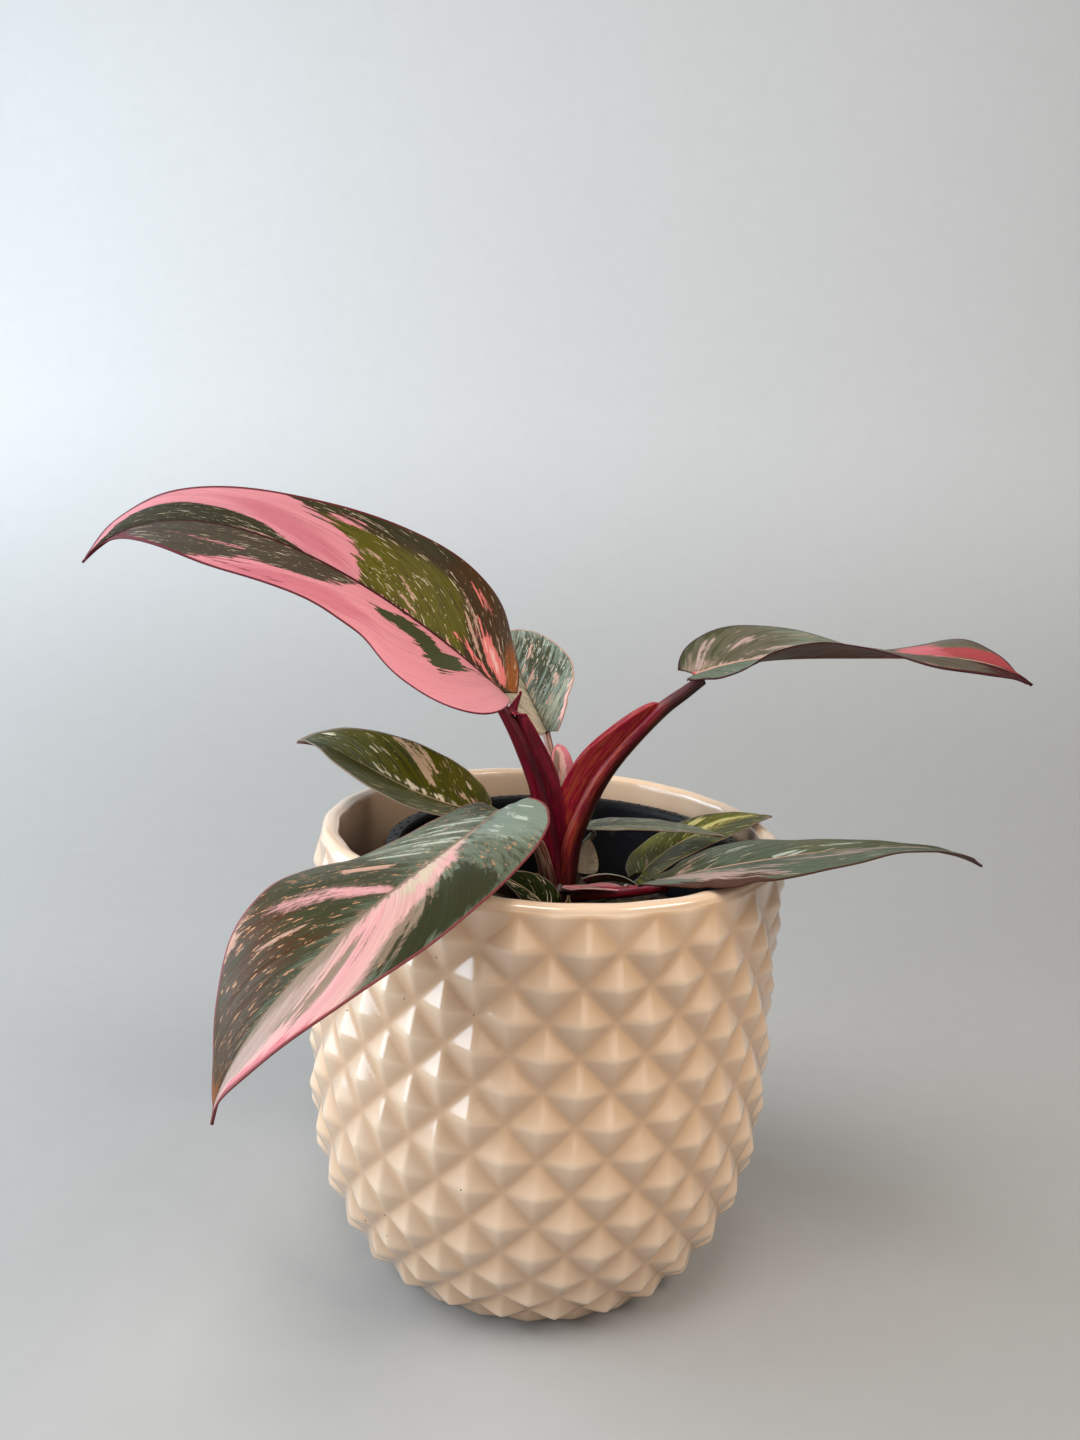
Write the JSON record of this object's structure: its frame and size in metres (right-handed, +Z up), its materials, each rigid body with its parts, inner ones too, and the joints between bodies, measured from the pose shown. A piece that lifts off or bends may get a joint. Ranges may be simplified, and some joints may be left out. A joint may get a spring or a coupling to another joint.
{
  "type": "potted variegated philodendron",
  "caption": "Climbing aroid house plant with arching pink and dark green variegated leaves on burgundy stalks, in a nursery pot inside a diamond-relief glazed cover pot.",
  "frame": {"origin": "centre of the flat underside of the cover pot", "axes": "+Z up along the cover pot's axis, +X to the side that the twisted upper leaf points to, -Y the side that is seen first"},
  "size_m": [0.2782, 0.2074, 0.2319],
  "materials": {
    "cream_glaze": "gloss",
    "black_plastic": "satin",
    "soil": "matte",
    "burgundy_stem": "satin",
    "pink_leaf": "satin",
    "green_leaf": "satin",
    "olive_leaf": "satin",
    "dry_leaf": "matte"
  },
  "bodies": {
    "root": {"cover_pot": "cream_glaze", "nursery_pot": "black_plastic", "soil": "soil", "stem": "burgundy_stem", "leaf_upper_left": "pink_leaf", "leaf_upper_right": "green_leaf", "leaf_upper_back": "green_leaf", "leaf_left": "olive_leaf", "leaf_front_left": "green_leaf", "leaf_right": "green_leaf", "leaf_right_back": "olive_leaf", "leaf_narrow_back": "green_leaf", "leaf_front_dark": "green_leaf", "leaf_front_olive": "olive_leaf", "leaf_low_right": "olive_leaf", "leaf_curled": "green_leaf", "leaf_new": "pink_leaf", "leaf_bud_front": "olive_leaf", "dried_sheath": "dry_leaf"}
  },
  "joints": []
}
